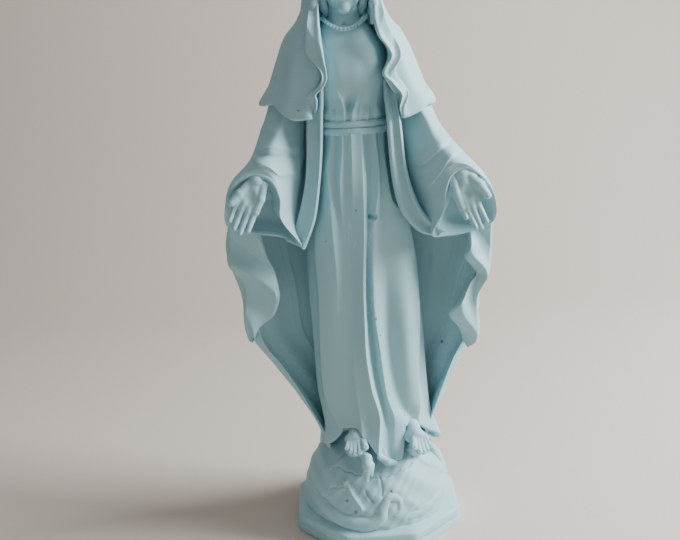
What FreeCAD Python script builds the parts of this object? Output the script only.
"""Madonna statuette, standing on a globe with a serpent, on an eight-sided plinth.

The origin is the centre of the plinth's underside, +Z is up and the figure faces -Y.
Left and right are the viewer's, looking at the front. All sizes are in millimetres.
Soft shapes are lofts through ellipses. Each ellipse is a station with its own named sizes in the
sheet, and a station's height is a share of the length of the piece that it belongs to.
"""

import os

import FreeCAD, Part
import Sketcher

SIZES = {
    "plinth_flats": 44.0,
    "plinth_height": 5.6,
    "plinth_bevel": 1.1,
    "globe_radius": 20.0,
    "globe_lift": 1.4,
    "hem_drop": 5.0,
    "skirt_length": 84.5,
    "sash_height": 3.1,
    "sash_proud": 0.4,
    "torso_length": 21.4,
    "neck_length": 6.0,
    "neck_base_radius": 4.5,
    "neck_top_radius": 4.0,
    "neck_sink": 1.5,
    "neck_y": -3.0,
    "head_offset": 0.3,
    "collar_rise": 0.2,
    "collar_radius": 0.55,
    "collar_tilt": 16.0,
    "bead_radius": 0.5,
    "head_rise": 11.6,
    "head_half_height": 7.9,
    "head_half_width": 5.9,
    "head_half_depth": 7.3,
    "head_y": -3.2,
    "nose_radius": 0.9,
    "axis_x": -2.8,
    "cape_drop": 20.8,
    "cape_length": 22.8,
    "opening_half_width": 6.8,
    "hood_length": 19.3,
    "hair_length": 17.6,
    "hair_lift": 1.0,
    "face_setback": 0.5,
    "throat_width": 18.0,
    "throat_side_gap": 2.4,
    "throat_back_gap": 4.6,
    "throat_forward": 3.4,
    "throat_lift": 2.0,
    "wing_start_left": 14.4,
    "wing_start_right": 19.6,
    "mantle_front_y": -6.5,
    "foot_length": 15.0,
    "foot_half_width": 3.3,
    "foot_half_height": 2.7,
    "toe_radius": 0.95,
    "toe_length": 4.2,
    "foot_clearance": 0.5,
    "hand_half_length": 5.0,
    "hand_half_width": 3.9,
    "hand_half_thickness": 1.8,
    "finger_radius": 0.95,
    "finger_length": 6.4,
    "hand_reach": 1.2,
    "hand_forward": 3.8,
    "hand_sink": 0.4,
    "cuff_wall": 1.4,
    "cuff_sink": 0.6,
    "coil_radius": 1.9,
    "tail_curl_radius": 2.4,
    "tail_radius": 0.95,
    "serpent_head_length": 6.0,
    "serpent_head_radius": 1.9,
    "serpent_head_x": 0.6,
}

PLINTH_SIDES = 8
SIDE_DEG = 360.0 / PLINTH_SIDES
SKETCH_RADIUS = 21.0
BEAD_COUNT = 13
BEAD_ARC_DEG = 150.0
TOE_COUNT = 5
TOE_SPREAD = 1.7
TIP_SHARE = 0.72
TOE_FORWARD = 0.44
TOE_CURVE = 0.08
TOE_DROP = 0.35
FOOT_SLOPE_DEG = 24.0
FOOT_FORWARD = 0.42
FOOT_UP = 0.95
FINGER_SPREAD_DEG = 7.0
FINGER_TIP = 0.7
FINGER_ROOT = 0.55
WRIST_RADII = (0.62, 0.6)
WRIST_LENGTH = 1.2
WRIST_ROOT = 0.4
WRIST_TILT_DEG = -18.0
THUMB_RADII = (1.2, 0.75)
THUMB_LENGTH = 1.1
THUMB_ROOT = 0.3
THUMB_ACROSS = 0.7
THUMB_SPREAD_DEG = 14.0
HAND_OUT_DEG = -16.0
HAND_BACK_DEG = -14.0
COIL_START_DEG = 60.0
COIL_SWEEP_DEG = 215.0
COIL_SINK = 0.35
CURL_SWEEP_DEG = 290.0
CURL_TILT_DEG = 80.0
CURL_PLACE = (0.02, 0.97, 0.16)
SERPENT_HEAD_PLACE = (0.80, 0.70)
SERPENT_HEAD_TILT_DEG = 52.0
NOSE_SHAPE = (2.2, 1.3)
NOSE_SINK = 0.2
NOSE_DROP = 1.4
WINDOW_WIDTH = 1.72
WINDOW_HEIGHT = 1.9
HAIRLINE = 0.62
OVERSHOOT = 60.0
QUARTER_DEG = 90.0
SEAM_DEG = {"back": 90.0, "front": 270.0}

# heights that follow from the sizes, as expressions
GLOBE_CENTRE = "(dims.plinth_height + dims.globe_lift)"
GLOBE_TOP = f"({GLOBE_CENTRE} + dims.globe_radius)"
HEM = f"({GLOBE_TOP} - dims.hem_drop)"
WAIST = f"({HEM} + dims.skirt_length)"
SASH_TOP = f"({WAIST} + dims.sash_height)"
NECK_BASE = f"({SASH_TOP} + dims.torso_length)"
CAPE_HEM = f"({NECK_BASE} - dims.cape_drop)"
CAPE_TOP = f"({CAPE_HEM} + dims.cape_length)"
HEAD_CENTRE = f"({NECK_BASE} + dims.head_rise)"
MANTLE_LENGTH = f"({CAPE_HEM} - {HEM})"
HEAD_X = "(dims.axis_x - dims.head_offset)"

# stations: word, share of the length, x and y of the centre, half width along X, half depth along Y
SKIRT = [
    ("hem", 0.0, 1.0, -1.5, 15.4, 13.5),
    ("shin", 0.15, 0.5, -1.5, 13.8, 12.2),
    ("knee", 0.42, -0.8, -1.8, 13.8, 11.4),
    ("thigh", 0.62, -2.0, -2.0, 13.4, 10.4),
    ("hip", 0.82, -2.4, -2.1, 10.8, 9.2),
    ("waist", 1.0, -2.4, -2.2, 8.6, 7.6),
]
BODICE = [
    ("waist", 0.0, -2.4, -2.2, 8.7, 7.6),
    ("chest", 0.5, -2.8, -2.6, 10.0, 8.6),
    ("shoulder", 0.82, -3.0, -2.5, 9.4, 7.4),
    ("neck", 1.0, -3.1, -2.6, 5.8, 5.4),
]
CAPE = [
    ("hem", 0.0, -2.9, -0.5, 21.6, 13.2),
    ("elbow", 0.35, -3.0, -0.6, 19.2, 12.6),
    ("arm", 0.64, -3.1, -0.6, 16.8, 11.6),
    ("shoulder", 0.87, -3.3, -0.4, 14.4, 10.4),
    ("top", 1.0, -3.3, -0.2, 11.8, 9.6),
]
HOOD = [
    ("collar", 0.0, -3.3, -0.2, 11.6, 9.6),
    ("jaw", 0.25, -3.2, 0.0, 10.1, 9.8),
    ("brow", 0.55, -3.1, 0.2, 9.9, 9.8),
    ("crown", 0.83, -3.1, 0.4, 7.7, 7.6),
    ("top", 1.0, -3.1, 0.5, 2.4, 2.2),
]
HAIR = [
    ("nape", 0.0, -3.1, 1.2, 5.6, 4.6),
    ("ear", 0.3, -3.1, -1.4, 7.2, 7.6),
    ("temple", 0.6, -3.1, -1.8, 7.1, 8.0),
    ("crown", 0.88, -3.1, -1.6, 4.6, 5.6),
    ("top", 1.0, -3.1, -1.4, 1.5, 1.8),
]
MANTLE_OUTER = [
    ("hem", 0.0, 0.2, 0.0, 14.8, 14.4),
    ("calf", 0.18, -0.3, -1.0, 21.6, 15.4),
    ("knee", 0.38, -1.8, -3.0, 29.4, 17.0),
    ("hand", 0.64, -2.2, -4.0, 33.4, 17.6),
    ("elbow", 0.86, -2.6, -2.8, 26.6, 15.8),
    ("top", 1.0, -2.9, -2.0, 21.6, 14.6),
]
MANTLE_INNER = [
    ("hem", -0.05, 0.2, -3.0, 12.4, 12.4),
    ("calf", 0.18, -0.3, -6.0, 19.0, 14.6),
    ("knee", 0.38, -1.8, -9.4, 26.8, 16.6),
    ("hand", 0.64, -2.2, -10.4, 30.8, 17.4),
    ("elbow", 0.86, -2.6, -8.8, 24.0, 15.2),
    ("top", 1.05, -2.9, -7.8, 19.0, 13.6),
]

# ribbons: word, height above the cape's hem, centre x and y, half width, half depth
FALL_LEFT = [
    ("foot", 2.8, -11.6, -13.0, 1.1, 1.2),
    ("fold", 6.8, -11.3, -12.8, 1.7, 1.8),
    ("breast", 11.8, -10.9, -12.2, 2.1, 2.2),
    ("collar", 17.8, -10.9, -10.8, 2.1, 2.4),
    ("jaw", 22.8, -10.6, -7.8, 1.9, 2.6),
]
FALL_RIGHT = [
    ("foot", 1.8, 9.1, -12.8, 1.0, 1.1),
    ("fold", 4.8, 9.0, -12.8, 1.5, 1.7),
    ("breast", 9.8, 7.4, -12.4, 2.1, 2.2),
    ("collar", 14.8, 7.0, -11.6, 2.1, 2.4),
    ("jaw", 22.8, 5.2, -8.2, 1.9, 2.6),
]
LAPEL_LEFT = [
    ("tip", -29.7, -16.4, -12.2, 1.4, 2.2),
    ("swing", -25.2, -15.6, -11.6, 2.0, 3.0),
    ("bend", -18.7, -13.6, -10.6, 2.2, 3.6),
    ("straight", -10.2, -12.2, -9.6, 2.1, 4.0),
    ("waist", -2.2, -11.6, -9.0, 2.0, 4.2),
    ("head", 2.8, -11.3, -9.2, 1.9, 4.0),
]
LAPEL_RIGHT = [
    ("tip", -26.7, 14.6, -12.0, 1.4, 2.2),
    ("swing", -23.7, 12.0, -11.6, 2.0, 3.0),
    ("bend", -18.7, 9.9, -10.6, 2.2, 3.6),
    ("straight", -11.2, 8.3, -9.6, 2.1, 4.0),
    ("waist", -3.2, 7.7, -9.0, 2.0, 4.2),
    ("head", 1.8, 7.6, -9.2, 1.9, 4.0),
]
# cascades hang on the mantle: word, share of its length, centre x and y, half width, half depth
CASCADE_LEFT = [
    ("foot", 0.3401, -28.6, -6.6, 1.2, 1.3),
    ("lower", 0.3968, -29.0, -7.4, 3.0, 2.0),
    ("middle", 0.4875, -29.0, -8.0, 3.0, 2.2),
    ("upper", 0.5896, -30.6, -8.8, 3.8, 2.6),
    ("head", 0.6576, -31.0, -9.4, 3.6, 2.6),
]
CASCADE_RIGHT = [
    ("foot", 0.3231, 25.0, -6.4, 1.2, 1.2),
    ("lower", 0.3798, 25.4, -7.7, 2.8, 2.1),
    ("middle", 0.4762, 25.4, -8.4, 2.9, 2.3),
    ("upper", 0.5669, 26.8, -9.1, 3.4, 2.5),
    ("head", 0.6463, 27.4, -9.7, 3.2, 2.5),
]

# sleeves: word, height above the cape's hem, distance of the centre from the figure's axis, y,
# half width, half depth, and how far the station tips forward in degrees
SLEEVE = [
    ("shoulder", 4.8, 13.4, -3.0, 5.6, 5.4, 0.0),
    ("elbow", -3.7, 16.9, -4.6, 6.0, 6.2, 14.0),
    ("forearm", -10.7, 20.8, -8.4, 6.7, 7.2, 34.0),
    ("cuff", -19.7, 24.4, -13.4, 7.4, 8.6, 58.0),
]

# feet: word, then shares of the foot's length, half width and half height
FOOT = [
    ("heel", 0.46, 0.70, 0.66),
    ("ankle", 0.24, 0.93, 0.90),
    ("instep", -0.03, 0.95, 0.90),
    ("ball", -0.29, 1.0, 0.60),
    ("toe_root", -0.42, 0.90, 0.36),
]

# fingers: place across the palm, length and fan, as shares of the hand's own sizes
FINGERS = [(-0.72, 0.8, -1.5), (-0.25, 1.0, -0.5), (0.25, 0.97, 0.5), (0.7, 0.86, 1.5)]

# feet: side, x on the globe and turn in degrees
FEET = [("left", -5.6, 10.0), ("right", 9.6, -14.0)]

doc = FreeCAD.newDocument("madonna_statue")
sheet = doc.addObject("Spreadsheet::Sheet", "dims")
stored = []
nodes = []


def keep_size(alias, value):
    """Writes one named size into the sheet, in a row of its own."""
    stored.append(alias)
    row = len(stored)
    sheet.set(f"A{row}", alias)
    sheet.set(f"B{row}", str(value))
    sheet.setAlias(f"B{row}", alias)


def primitive(kind, name, **bound):
    """A Part primitive whose properties are bound to expressions."""
    made = doc.addObject(kind, name)
    for prop, expression in bound.items():
        made.setExpression(prop, str(expression))
    return made


def put(made, x, y, z, rotation=None):
    """Binds an object's position, with an optional fixed rotation."""
    if rotation is not None:
        made.Placement = FreeCAD.Placement(FreeCAD.Vector(), rotation)
    for side, expression in (("x", x), ("y", y), ("z", z)):
        made.setExpression(f".Placement.Base.{side}", str(expression))
    return made


def turned(axis, degrees):
    """A rotation about an axis."""
    return FreeCAD.Rotation(FreeCAD.Vector(*axis), degrees)


def size_of(expression):
    """The number that a plain 'dims.alias' expression stands for."""
    return float(getattr(sheet, expression.split(".")[1]))


def station(name, x, y, z, half_width, half_depth, rotation=None, seam="back"):
    """One elliptical section with its long side along X, or along Y where deep.

    The ellipse starts and ends at the back or at the front, and the loft's seam follows that point.
    """
    wide = size_of(half_width) >= size_of(half_depth)
    long_side, short_side = (half_width, half_depth) if wide else (half_depth, half_width)
    made = primitive("Part::Ellipse", name, MajorRadius=long_side, MinorRadius=short_side)
    start = SEAM_DEG[seam] if wide else SEAM_DEG[seam] - QUARTER_DEG
    made.Angle1 = start
    made.Angle2 = start
    if not wide:
        quarter = turned((0, 0, 1), QUARTER_DEG)
        rotation = quarter if rotation is None else rotation.multiply(quarter)
    return put(made, x, y, z, rotation)


def loft(name, stations):
    """A smooth solid through closed sections."""
    made = doc.addObject("Part::Loft", name)
    made.Sections = stations
    made.Solid = True
    made.Ruled = False
    return made


def named_sizes(name, words, row):
    """Stores a station's sizes under names of their own and returns their expressions."""
    found = []
    for word, value in zip(words, row[1:]):
        alias = f"{name}_{row[0]}_{word}"
        keep_size(alias, value)
        found.append(f"dims.{alias}")
    return found


def store_all(tables, words):
    """Stores every row of several tables and returns each row's word with its expressions."""
    kept = {}
    for name, rows in tables.items():
        kept[name] = [(row[0], named_sizes(name, words, row)) for row in rows]
    return kept


def tower(name, base, length, rows, seam="back"):
    """A loft whose stations lie at shares of a length above a base height."""
    parts = []
    for word, (share, x, y, half_width, half_depth) in rows:
        height = f"{base} + {share} * {length}"
        parts.append(station(f"{name}_{word}", x, y, height, half_width, half_depth, seam=seam))
    return loft(f"{name}_loft", parts)


def ribbon(name, rows):
    """A loft whose stations lie at heights above the cape's hem."""
    parts = []
    for word, (height, x, y, half_width, half_depth) in rows:
        parts.append(station(f"{name}_{word}", x, y, f"{CAPE_HEM} + {height}", half_width, half_depth))
    return loft(f"{name}_loft", parts)


def box(name, x, y, z, length, width, height):
    """A block from its lowest corner."""
    made = primitive("Part::Box", name, Length=length, Width=width, Height=height)
    return put(made, x, y, z)


def cut(name, base, *tools):
    """Base with each tool taken away in turn."""
    made = base
    for number, tool in enumerate(tools):
        step = doc.addObject("Part::Cut", name if number == len(tools) - 1 else f"{name}_step_{number}")
        step.Base = made
        step.Tool = tool
        made = step
    return made


def common(name, base, tool):
    """What two shapes share."""
    made = doc.addObject("Part::Common", name)
    made.Base = base
    made.Tool = tool
    return made


def fuse(name, pieces):
    """Several shapes as one."""
    made = doc.addObject("Part::MultiFuse", name)
    made.Shapes = pieces
    return made


def node(made, label):
    """Lists a shape as one named part of the statuette."""
    made.Label = label
    nodes.append(made)
    return made


for alias, value in SIZES.items():
    keep_size(alias, value)
TOWERS = {
    "skirt": SKIRT, "bodice": BODICE, "cape": CAPE, "hood": HOOD, "hair": HAIR,
    "mantle_outer": MANTLE_OUTER, "mantle_inner": MANTLE_INNER,
    "cascade_left": CASCADE_LEFT, "cascade_right": CASCADE_RIGHT,
}
RIBBONS = {
    "veil_fall_left": FALL_LEFT, "veil_fall_right": FALL_RIGHT,
    "mantle_lapel_left": LAPEL_LEFT, "mantle_lapel_right": LAPEL_RIGHT,
}
towers = store_all(TOWERS, ("share", "x", "y", "half_width", "half_depth"))
ribbons = store_all(RIBBONS, ("height", "x", "y", "half_width", "half_depth"))
SLEEVE_WORDS = ("height", "reach", "y", "half_width", "half_depth", "tip")
sleeves = store_all({"sleeve": SLEEVE}, SLEEVE_WORDS)["sleeve"]
doc.recompute()


def make_plinth():
    """Eight-sided slab with a bevelled upper edge: a PartDesign pad and chamfer."""
    body = doc.addObject("PartDesign::Body", "plinth_body")
    sketch = body.newObject("Sketcher::SketchObject", "plinth_outline")
    ground = next(f for f in body.Origin.OriginFeatures if f.Role == "XY_Plane")
    sketch.AttachmentSupport = [(ground, "")]
    sketch.MapMode = "FlatFace"
    reach = FreeCAD.Vector(SKETCH_RADIUS, 0, 0)
    corners = [turned((0, 0, 1), (i + 0.5) * SIDE_DEG).multVec(reach) for i in range(PLINTH_SIDES)]
    for i in range(PLINTH_SIDES):
        sketch.addGeometry(Part.LineSegment(corners[i], corners[(i + 1) % PLINTH_SIDES]), False)
    for i in range(PLINTH_SIDES):
        sketch.addConstraint(Sketcher.Constraint("Coincident", i, 2, (i + 1) % PLINTH_SIDES, 1))
    for i in range(1, PLINTH_SIDES):
        sketch.addConstraint(Sketcher.Constraint("Equal", 0, i))
    ring = Part.Circle(FreeCAD.Vector(), FreeCAD.Vector(0, 0, 1), SKETCH_RADIUS)
    circle = sketch.addGeometry(ring, True)
    sketch.addConstraint(Sketcher.Constraint("Coincident", circle, 3, -1, 1))
    for i in range(PLINTH_SIDES):
        sketch.addConstraint(Sketcher.Constraint("PointOnObject", i, 1, circle))
    sketch.addConstraint(Sketcher.Constraint("Vertical", PLINTH_SIDES - 1))
    radius = sketch.addConstraint(Sketcher.Constraint("Radius", circle, SKETCH_RADIUS))
    sketch.setExpression(f"Constraints[{radius}]", f"dims.plinth_flats / 2 / cos({SIDE_DEG / 2} deg)")
    pad = body.newObject("PartDesign::Pad", "plinth_pad")
    pad.Profile = sketch
    pad.setExpression("Length", "dims.plinth_height")
    doc.recompute()
    above = pad.Shape.BoundBox.ZMax / 2
    top = [f"Edge{n}" for n, edge in enumerate(pad.Shape.Edges, 1) if edge.BoundBox.ZMin > above]
    bevel = body.newObject("PartDesign::Chamfer", "plinth_bevel")
    bevel.Base = (pad, top)
    bevel.setExpression("Size", "dims.plinth_bevel")
    body.Tip = bevel
    return body


def make_globe():
    """Ball cut flat where it stands on the plinth."""
    ball = primitive("Part::Sphere", "globe_ball", Radius="dims.globe_radius")
    put(ball, 0, 0, GLOBE_CENTRE)
    under = box("globe_under", -OVERSHOOT, -OVERSHOOT, f"dims.plinth_height - {OVERSHOOT}",
                2 * OVERSHOOT, 2 * OVERSHOOT, OVERSHOOT)
    return cut("globe_cut", ball, under)


def make_instep(name, clearance):
    """Sole, ankle and instep as a loft along the foot, grown by a clearance."""
    sections = []
    for word, along, width, height in FOOT:
        section = primitive("Part::Ellipse", f"{name}_{word}",
                            MajorRadius=f"dims.foot_half_width * {width} + {clearance}",
                            MinorRadius=f"dims.foot_half_height * {height} + {clearance}")
        put(section, 0, f"(dims.foot_length + {clearance}) * {along}",
            f"dims.foot_half_height * {height - 1}", turned((1, 0, 0), QUARTER_DEG))
        sections.append(section)
    return loft(f"{name}_instep", sections)


def place_foot(made, x, turn):
    """Stands a foot, or the room for one, on the front of the globe."""
    slope = turned((1, 0, 0), FOOT_SLOPE_DEG).multiply(turned((0, 0, 1), turn))
    height = f"{GLOBE_CENTRE} + dims.globe_radius * {FOOT_UP}"
    return put(made, x, f"-dims.globe_radius * {FOOT_FORWARD}", height, slope)


def make_foot(name, foot, clearance):
    """Foot on the globe, an instep with five toes, or the room for one, grown by a clearance."""
    side, x, turn = foot
    pieces = [make_instep(f"{name}_{side}", clearance)]
    for i in range(TOE_COUNT):
        across = (i - (TOE_COUNT - 1) / 2) / (TOE_COUNT - 1) * TOE_SPREAD
        toe = primitive("Part::Cone", f"{name}_{side}_toe_{i}", Radius1=f"dims.toe_radius + {clearance}",
                        Radius2=f"dims.toe_radius * {TIP_SHARE} + {clearance}",
                        Height=f"dims.toe_length + {clearance}")
        forward = TOE_FORWARD - TOE_CURVE * abs(across)
        put(toe, f"dims.foot_half_width * {across}", f"-dims.foot_length * {forward} + dims.toe_length / 2",
            f"-dims.foot_half_height * {TOE_DROP}", turned((1, 0, 0), QUARTER_DEG))
        pieces.append(toe)
    return place_foot(fuse(f"{name}_{side}_whole", pieces), x, turn)


def make_pocket(name, like, radii, clearance):
    """An ellipsoid around a piece, a clearance larger, that makes room for it in another piece."""
    grown = {f"Radius{i}": f"{radius} + {clearance}" for i, radius in enumerate(radii, 1)}
    ball = primitive("Part::Ellipsoid", name, **grown)
    ball.Placement = like.Placement
    for side in "xyz":
        ball.setExpression(f".Placement.Base.{side}", f"{like.Name}.Placement.Base.{side}")
    return ball


def make_hand(side, sign):
    """Open hand, palm forward: a palm, four fingers and a thumb, with a wrist that runs into the cuff."""
    name = f"hand_{side}"
    palm = primitive("Part::Ellipsoid", f"{name}_palm", Radius1="dims.hand_half_length",
                     Radius2="dims.hand_half_width", Radius3="dims.hand_half_thickness")
    wrist = primitive("Part::Cone", f"{name}_wrist",
                      Radius1=f"dims.hand_half_width * {WRIST_RADII[0]}",
                      Radius2=f"dims.hand_half_width * {WRIST_RADII[1]}",
                      Height=f"dims.hand_half_length * {WRIST_LENGTH}")
    put(wrist, 0, f"dims.hand_half_thickness * {WRIST_ROOT}", f"dims.hand_half_length * {WRIST_ROOT}",
        turned((1, 0, 0), WRIST_TILT_DEG))
    pieces = [palm, wrist]
    for i, (across, length, fan) in enumerate(FINGERS):
        finger = primitive("Part::Cone", f"{name}_finger_{i}", Radius1="dims.finger_radius",
                           Radius2=f"dims.finger_radius * {FINGER_TIP}",
                           Height=f"dims.finger_length * {length}")
        down = turned((0, 1, 0), 2 * QUARTER_DEG + sign * fan * FINGER_SPREAD_DEG)
        put(finger, f"dims.hand_half_width * {-sign * across}", 0,
            f"-dims.hand_half_length * {FINGER_ROOT}", down)
        pieces.append(finger)
    thumb = primitive("Part::Cone", f"{name}_thumb",
                      Radius1=f"dims.finger_radius * {THUMB_RADII[0]}",
                      Radius2=f"dims.finger_radius * {THUMB_RADII[1]}",
                      Height=f"dims.finger_length * {THUMB_LENGTH}")
    put(thumb, f"dims.hand_half_width * {-sign * THUMB_ACROSS}", f"-dims.hand_half_thickness * {THUMB_ROOT}",
        f"dims.hand_half_length * {THUMB_ROOT}",
        turned((0, 1, 0), 2 * QUARTER_DEG + sign * THUMB_SPREAD_DEG))
    pieces.append(thumb)
    hand = fuse(f"{name}_whole", pieces)
    tilt = turned((0, 1, 0), sign * HAND_OUT_DEG).multiply(turned((1, 0, 0), HAND_BACK_DEG))
    cuff = dict(sleeves)["cuff"]
    return put(hand, f"dims.axis_x + {sign} * ({cuff[1]} + dims.hand_reach)",
               f"{cuff[2]} - dims.hand_forward", f"{CAPE_HEM} + {cuff[0]} - dims.hand_sink", tilt)


def make_sleeve(side, sign):
    """Hanging sleeve: a loft from under the cape out to the open cuff."""
    parts = []
    for word, (height, reach, y, half_width, half_depth, tip) in sleeves:
        lean = turned((1, 0, 0), -size_of(tip))
        parts.append(station(f"sleeve_{side}_{word}", f"dims.axis_x + {sign} * {reach}", y,
                             f"{CAPE_HEM} + {height}", half_width, half_depth, lean))
    return loft(f"sleeve_{side}_loft", parts)


def make_recess(side, sign):
    """The hollow of the cuff around the wrist."""
    cuff = dict(sleeves)["cuff"]
    hollow = primitive("Part::Ellipsoid", f"cuff_hollow_{side}", Radius1="dims.hand_half_length",
                       Radius2=f"{cuff[3]} - dims.cuff_wall", Radius3=f"{cuff[4]} - dims.cuff_wall")
    lean = turned((1, 0, 0), -size_of(cuff[5]))
    return put(hollow, f"dims.axis_x + {sign} * {cuff[1]}", f"{cuff[2]} - dims.cuff_sink",
               f"{CAPE_HEM} + {cuff[0]} - dims.cuff_sink", lean)


def make_beads():
    """Row of small balls on the collar, in one group of separate solids."""
    pieces = []
    for i in range(BEAD_COUNT):
        angle = (i / (BEAD_COUNT - 1) - 0.5) * BEAD_ARC_DEG - QUARTER_DEG
        bead = primitive("Part::Sphere", f"bead_{i}", Radius="dims.bead_radius")
        ring = "(dims.neck_base_radius + dims.collar_radius * 2 + dims.bead_radius)"
        x = f"{HEAD_X} + {ring} * cos({angle} deg)"
        y = f"dims.neck_y + {ring} * sin({angle} deg)"
        z = f"{NECK_BASE} + dims.collar_rise + {ring} * sin({angle} deg) * tan(dims.collar_tilt * 1 deg)"
        pieces.append(put(bead, x, y, z))
    group = doc.addObject("Part::Compound", "bead_group")
    group.Links = pieces
    return group


def make_mantle_part(name, shell, x, width):
    """The stretch of the mantle's shell between two upright planes, behind its front edges."""
    outer, inner = shell
    slab = box(f"{name}_slab", x, "dims.mantle_front_y", 0, width, OVERSHOOT, 3 * OVERSHOOT)
    return cut(f"{name}_shell", common(f"{name}_blank", outer, slab), inner)


node(make_plinth(), "plinth")
globe = node(make_globe(), "globe")

foot_pockets = [make_foot("foot_pocket", foot, "dims.foot_clearance") for foot in FEET]

coil = primitive("Part::Torus", "serpent_coil", Radius2="dims.coil_radius",
                 Radius1=f"dims.globe_radius - dims.coil_radius * {COIL_SINK}")
coil.Angle3 = COIL_SWEEP_DEG
put(coil, 0, 0, "dims.plinth_height + dims.coil_radius", turned((0, 0, 1), COIL_START_DEG))
serpent_body = node(cut("serpent_body_cut", coil, globe), "serpent_body")
curl = primitive("Part::Torus", "serpent_curl", Radius1="dims.tail_curl_radius", Radius2="dims.tail_radius")
curl.Angle3 = CURL_SWEEP_DEG
put(curl, f"dims.globe_radius * {CURL_PLACE[0]}", f"-dims.globe_radius * {CURL_PLACE[1]}",
    f"{GLOBE_CENTRE} + dims.globe_radius * {CURL_PLACE[2]}", turned((1, 0, 0), CURL_TILT_DEG))
node(cut("serpent_tail_cut", curl, globe, serpent_body), "serpent_tail")
jaw_radii = ("dims.serpent_head_radius", "dims.serpent_head_radius", "dims.serpent_head_length / 2")
jaw = primitive("Part::Ellipsoid", "serpent_jaw", Radius1=jaw_radii[0], Radius2=jaw_radii[1],
                Radius3=jaw_radii[2])
put(jaw, "dims.serpent_head_x", f"-dims.globe_radius * {SERPENT_HEAD_PLACE[0]}",
    f"{GLOBE_CENTRE} + dims.globe_radius * {SERPENT_HEAD_PLACE[1]}",
    turned((1, 0, 0), SERPENT_HEAD_TILT_DEG))
node(cut("serpent_head_cut", jaw, globe), "serpent_head")
jaw_pocket = make_pocket("serpent_head_pocket", jaw, jaw_radii, "dims.foot_clearance")

skirt_blank = tower("skirt", HEM, "dims.skirt_length", towers["skirt"])
skirt = node(cut("skirt_cut", skirt_blank, *foot_pockets, jaw_pocket, globe), "skirt")
for foot in FEET:
    node(cut(f"foot_{foot[0]}_cut", make_foot("foot", foot, "0"), globe), f"foot_{foot[0]}")

belt = []
for word, height in (("lower", WAIST), ("upper", SASH_TOP)):
    ring = primitive("Part::Ellipse", f"sash_{word}",
                     MajorRadius="dims.skirt_waist_half_width + dims.sash_proud",
                     MinorRadius="dims.skirt_waist_half_depth + dims.sash_proud")
    belt.append(put(ring, "dims.skirt_waist_x", "dims.skirt_waist_y", height))
sash = node(loft("sash_loft", belt), "sash")

bodice_blank = tower("bodice", SASH_TOP, "dims.torso_length", towers["bodice"])
neck = primitive("Part::Cone", "neck_cone", Radius1="dims.neck_base_radius", Radius2="dims.neck_top_radius",
                 Height="dims.neck_length + dims.neck_sink")
node(put(neck, HEAD_X, "dims.neck_y", f"{NECK_BASE} - dims.neck_sink"), "neck")
bodice = node(cut("bodice_cut", bodice_blank, neck), "bodice")

collar_ring = primitive("Part::Torus", "collar_ring", Radius1="dims.neck_base_radius + dims.collar_radius",
                        Radius2="dims.collar_radius")
put(collar_ring, HEAD_X, "dims.neck_y", f"{NECK_BASE} + dims.collar_rise",
    turned((1, 0, 0), SIZES["collar_tilt"]))
node(cut("collar_cut", collar_ring, neck, bodice), "collar_band")
node(make_beads(), "collar_beads")

skull = primitive("Part::Ellipsoid", "head_ball", Radius1="dims.head_half_height",
                  Radius2="dims.head_half_width", Radius3="dims.head_half_depth")
put(skull, HEAD_X, "dims.head_y", HEAD_CENTRE)
nose = primitive("Part::Ellipsoid", "nose_ball", Radius1=f"dims.nose_radius * {NOSE_SHAPE[0]}",
                 Radius2="dims.nose_radius", Radius3=f"dims.nose_radius * {NOSE_SHAPE[1]}")
put(nose, HEAD_X, f"dims.head_y - dims.head_half_depth + dims.nose_radius * {NOSE_SINK}",
    f"{HEAD_CENTRE} - dims.nose_radius * {NOSE_DROP}")
head = node(cut("head_cut", fuse("head_whole", [skull, nose]), neck), "head")

hood_blank = tower("hood", CAPE_TOP, "dims.hood_length", towers["hood"])
hair_blank = tower("hair", f"({CAPE_TOP} + dims.hair_lift)", "dims.hair_length", towers["hair"])
face_window = box("face_window", f"{HEAD_X} - dims.head_half_width * {WINDOW_WIDTH / 2}", f"-{OVERSHOOT}",
                  f"{CAPE_TOP} - 2 * dims.throat_lift", f"dims.head_half_width * {WINDOW_WIDTH}",
                  f"{OVERSHOOT} + dims.head_y - dims.face_setback",
                  f"dims.head_half_height * {WINDOW_HEIGHT}")
face_front = box("face_front", f"-{OVERSHOOT}", f"-{OVERSHOOT}", NECK_BASE, 2 * OVERSHOOT,
                 f"{OVERSHOOT} + dims.head_y - dims.head_half_depth * {HAIRLINE}", OVERSHOOT)
node(cut("hair_cut", hair_blank, head, neck, face_window, face_front), "hair")

neck_hollow = primitive("Part::Ellipsoid", "neck_hollow", Radius1="dims.throat_width / 2",
                        Radius2="dims.neck_base_radius + dims.throat_side_gap",
                        Radius3="dims.neck_base_radius + dims.throat_back_gap")
put(neck_hollow, HEAD_X, "dims.neck_y - dims.throat_forward", f"{NECK_BASE} + dims.throat_lift")
node(cut("hood_cut", hood_blank, hair_blank, face_window, head, neck_hollow), "veil_hood")

throat = box("throat_opening", "dims.axis_x - dims.opening_half_width", f"-{OVERSHOOT}",
             f"{CAPE_HEM} - dims.throat_lift", "dims.opening_half_width * 2",
             f"{OVERSHOOT} - dims.throat_lift", "dims.cape_length + dims.throat_width / 2")
cape_blank = tower("cape", CAPE_HEM, "dims.cape_length", towers["cape"])
node(cut("cape_cut", cape_blank, throat, neck_hollow, bodice_blank), "veil_cape")

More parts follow.
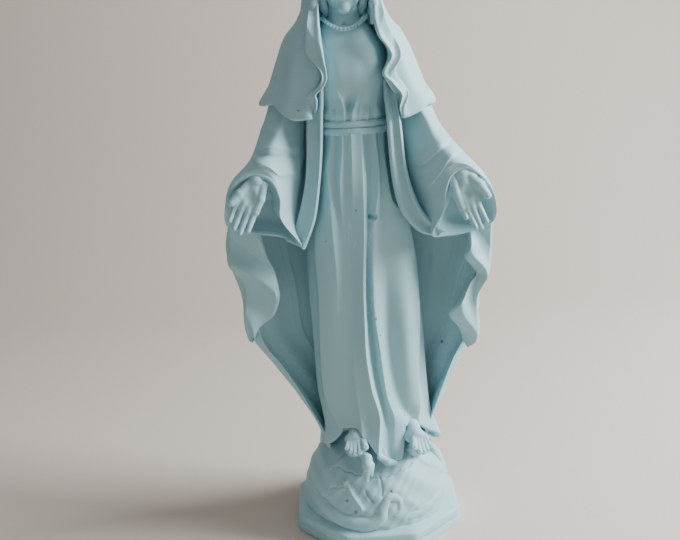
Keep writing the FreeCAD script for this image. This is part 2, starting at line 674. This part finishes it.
outer = tower("mantle_outer", HEM, MANTLE_LENGTH, towers["mantle_outer"], seam="front")
inner = tower("mantle_inner", HEM, MANTLE_LENGTH, towers["mantle_inner"], seam="front")
mantle = (outer, inner)
back_shell = make_mantle_part("mantle_back", mantle, "dims.axis_x - dims.wing_start_left",
                              "dims.wing_start_left + dims.wing_start_right")
back = node(cut("mantle_back_cut", back_shell, globe, skirt_blank), "mantle_back")
wings = {}
for side, start in (("left", f"dims.axis_x - dims.wing_start_left - {OVERSHOOT}"),
                    ("right", "dims.axis_x + dims.wing_start_right")):
    wing = make_mantle_part(f"mantle_wing_{side}", mantle, start, OVERSHOOT)
    wings[side] = node(wing, f"mantle_wing_{side}")

for side, sign in (("left", -1), ("right", 1)):
    hand = node(make_hand(side, sign), f"hand_{side}")
    sleeve = cut(f"sleeve_{side}_cut", make_sleeve(side, sign), make_recess(side, sign), cape_blank,
                 wings[side], back, hand)
    node(sleeve, f"sleeve_{side}")
    lapel = ribbon(f"mantle_lapel_{side}", ribbons[f"mantle_lapel_{side}"])
    lapel = cut(f"lapel_{side}_cut", lapel, skirt_blank, sash, bodice_blank, cape_blank, sleeve)
    node(lapel, f"mantle_lapel_{side}")
    fall = ribbon(f"veil_fall_{side}", ribbons[f"veil_fall_{side}"])
    node(cut(f"fall_{side}_cut", fall, cape_blank), f"veil_fall_{side}")
    cascade = tower(f"cascade_{side}", HEM, MANTLE_LENGTH, towers[f"cascade_{side}"])
    node(cut(f"cascade_{side}_cut", cascade, wings[side], sleeve), f"mantle_cascade_{side}")

doc.recompute()

failed = [o.Name for o in doc.Objects if "Invalid" in o.State or "Error" in o.State]
for made in nodes:
    if made.Shape.isNull() or not made.Shape.isValid() or not made.Shape.Solids:
        failed.append(made.Label)
if failed:
    raise RuntimeError("these objects failed: " + ", ".join(failed))
os.makedirs("parts", exist_ok=True)
for made in nodes:
    made.Shape.exportStep(f"parts/{made.Label}.step")
    print(made.Label, len(made.Shape.Solids), "solids", round(made.Shape.Volume, 1), "mm3")
